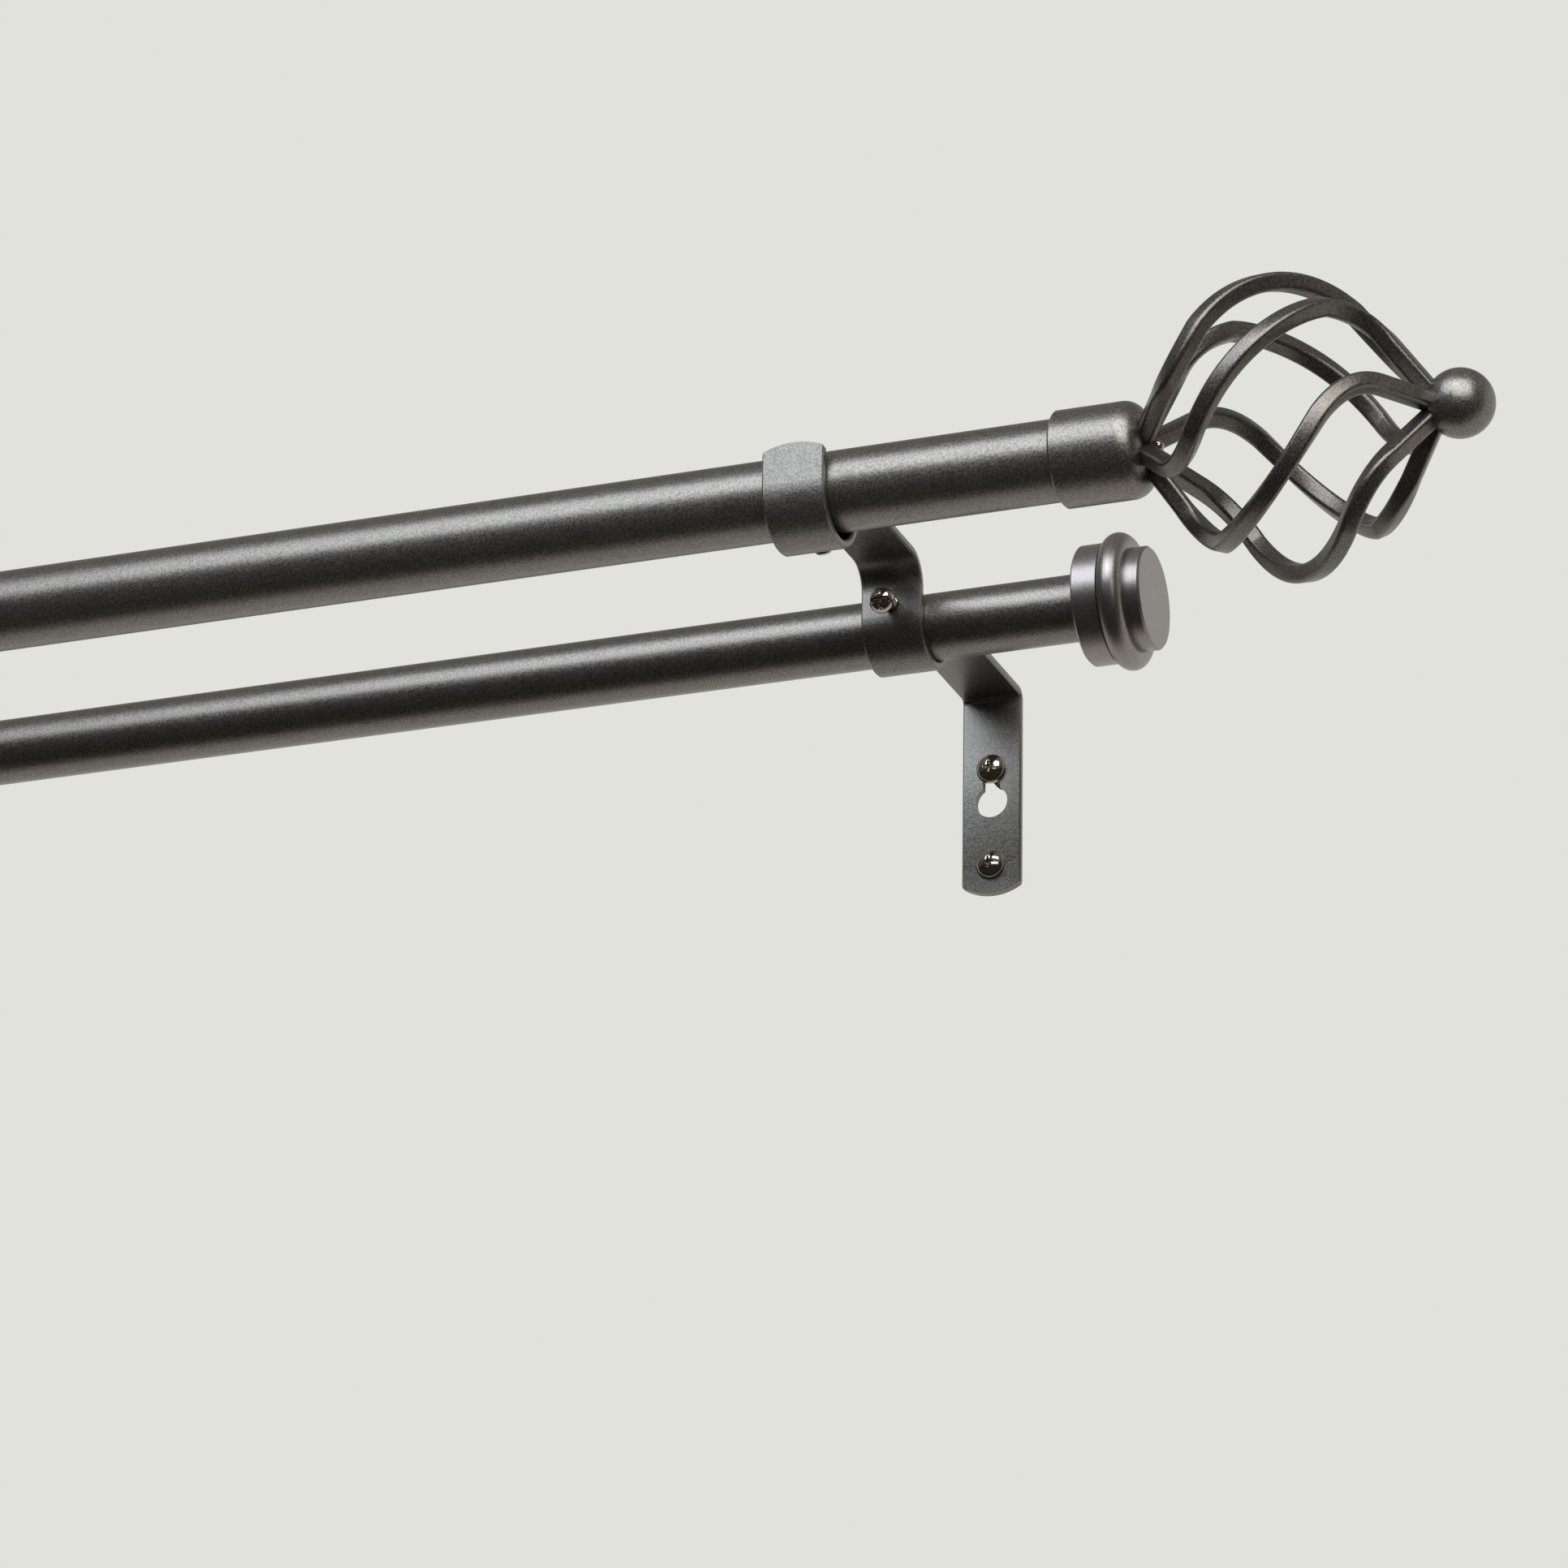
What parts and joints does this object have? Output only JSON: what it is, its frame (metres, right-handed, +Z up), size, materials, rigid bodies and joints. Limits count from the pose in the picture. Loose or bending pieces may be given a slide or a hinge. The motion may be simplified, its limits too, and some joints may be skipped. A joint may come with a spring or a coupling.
{
  "type": "double curtain pole",
  "caption": "Double curtain pole: telescopic front and rear tubes in folded wall straps, twisted cage finials on the front pole and turned caps on the rear one.",
  "frame": {"origin": "middle of the four wall screws, on the wall's face", "axes": "+X along the poles, +Y into the wall, +Z up; the room is on the -Y side"},
  "size_m": [0.8638, 0.1766, 0.0846],
  "materials": {
    "graphite_paint": "satin metallic paint with a fine sparkle",
    "graphite_powder": "grainy satin powder coat",
    "pewter_paint": "satin pewter paint",
    "dark_nickel": "dark glossy nickel plate",
    "black_plastic": "plain moulded"
  },
  "bodies": {
    "straps_and_outer_tubes": {"front_outer_tube": "graphite_paint", "rear_outer_tube": "graphite_paint", "right_wall_strap": "graphite_powder", "right_wall_screws": "dark_nickel", "right_rear_set_screw": "dark_nickel", "right_front_set_screw": "dark_nickel", "right_cup": "graphite_paint", "right_rivet": "dark_nickel", "right_cage_bar_1": "graphite_paint", "right_cage_bar_2": "graphite_paint", "right_cage_bar_3": "graphite_paint", "right_cage_bar_4": "graphite_paint", "right_cage_bar_5": "graphite_paint", "right_cage_bar_6": "graphite_paint", "right_ball": "graphite_paint", "right_end_cap": "pewter_paint", "left_wall_strap": "graphite_powder", "left_wall_screws": "dark_nickel", "left_rear_set_screw": "dark_nickel", "left_front_set_screw": "dark_nickel"},
    "front_inner": {"front_inner_tube": "graphite_paint", "front_sleeve": "black_plastic", "left_cup": "graphite_paint", "left_rivet": "dark_nickel", "left_cage_bar_1": "graphite_paint", "left_cage_bar_2": "graphite_paint", "left_cage_bar_3": "graphite_paint", "left_cage_bar_4": "graphite_paint", "left_cage_bar_5": "graphite_paint", "left_cage_bar_6": "graphite_paint", "left_ball": "graphite_paint"},
    "rear_inner": {"rear_inner_tube": "graphite_paint", "rear_sleeve": "black_plastic", "left_end_cap": "pewter_paint"}
  },
  "joints": [
    {"name": "front_pull", "type": "slide", "parent": "straps_and_outer_tubes", "child": "front_inner", "axis": [-1, 0, 0], "range_m": [0, 0.5]},
    {"name": "rear_pull", "type": "slide", "parent": "straps_and_outer_tubes", "child": "rear_inner", "axis": [-1, 0, 0], "range_m": [0, 0.5]}
  ]
}
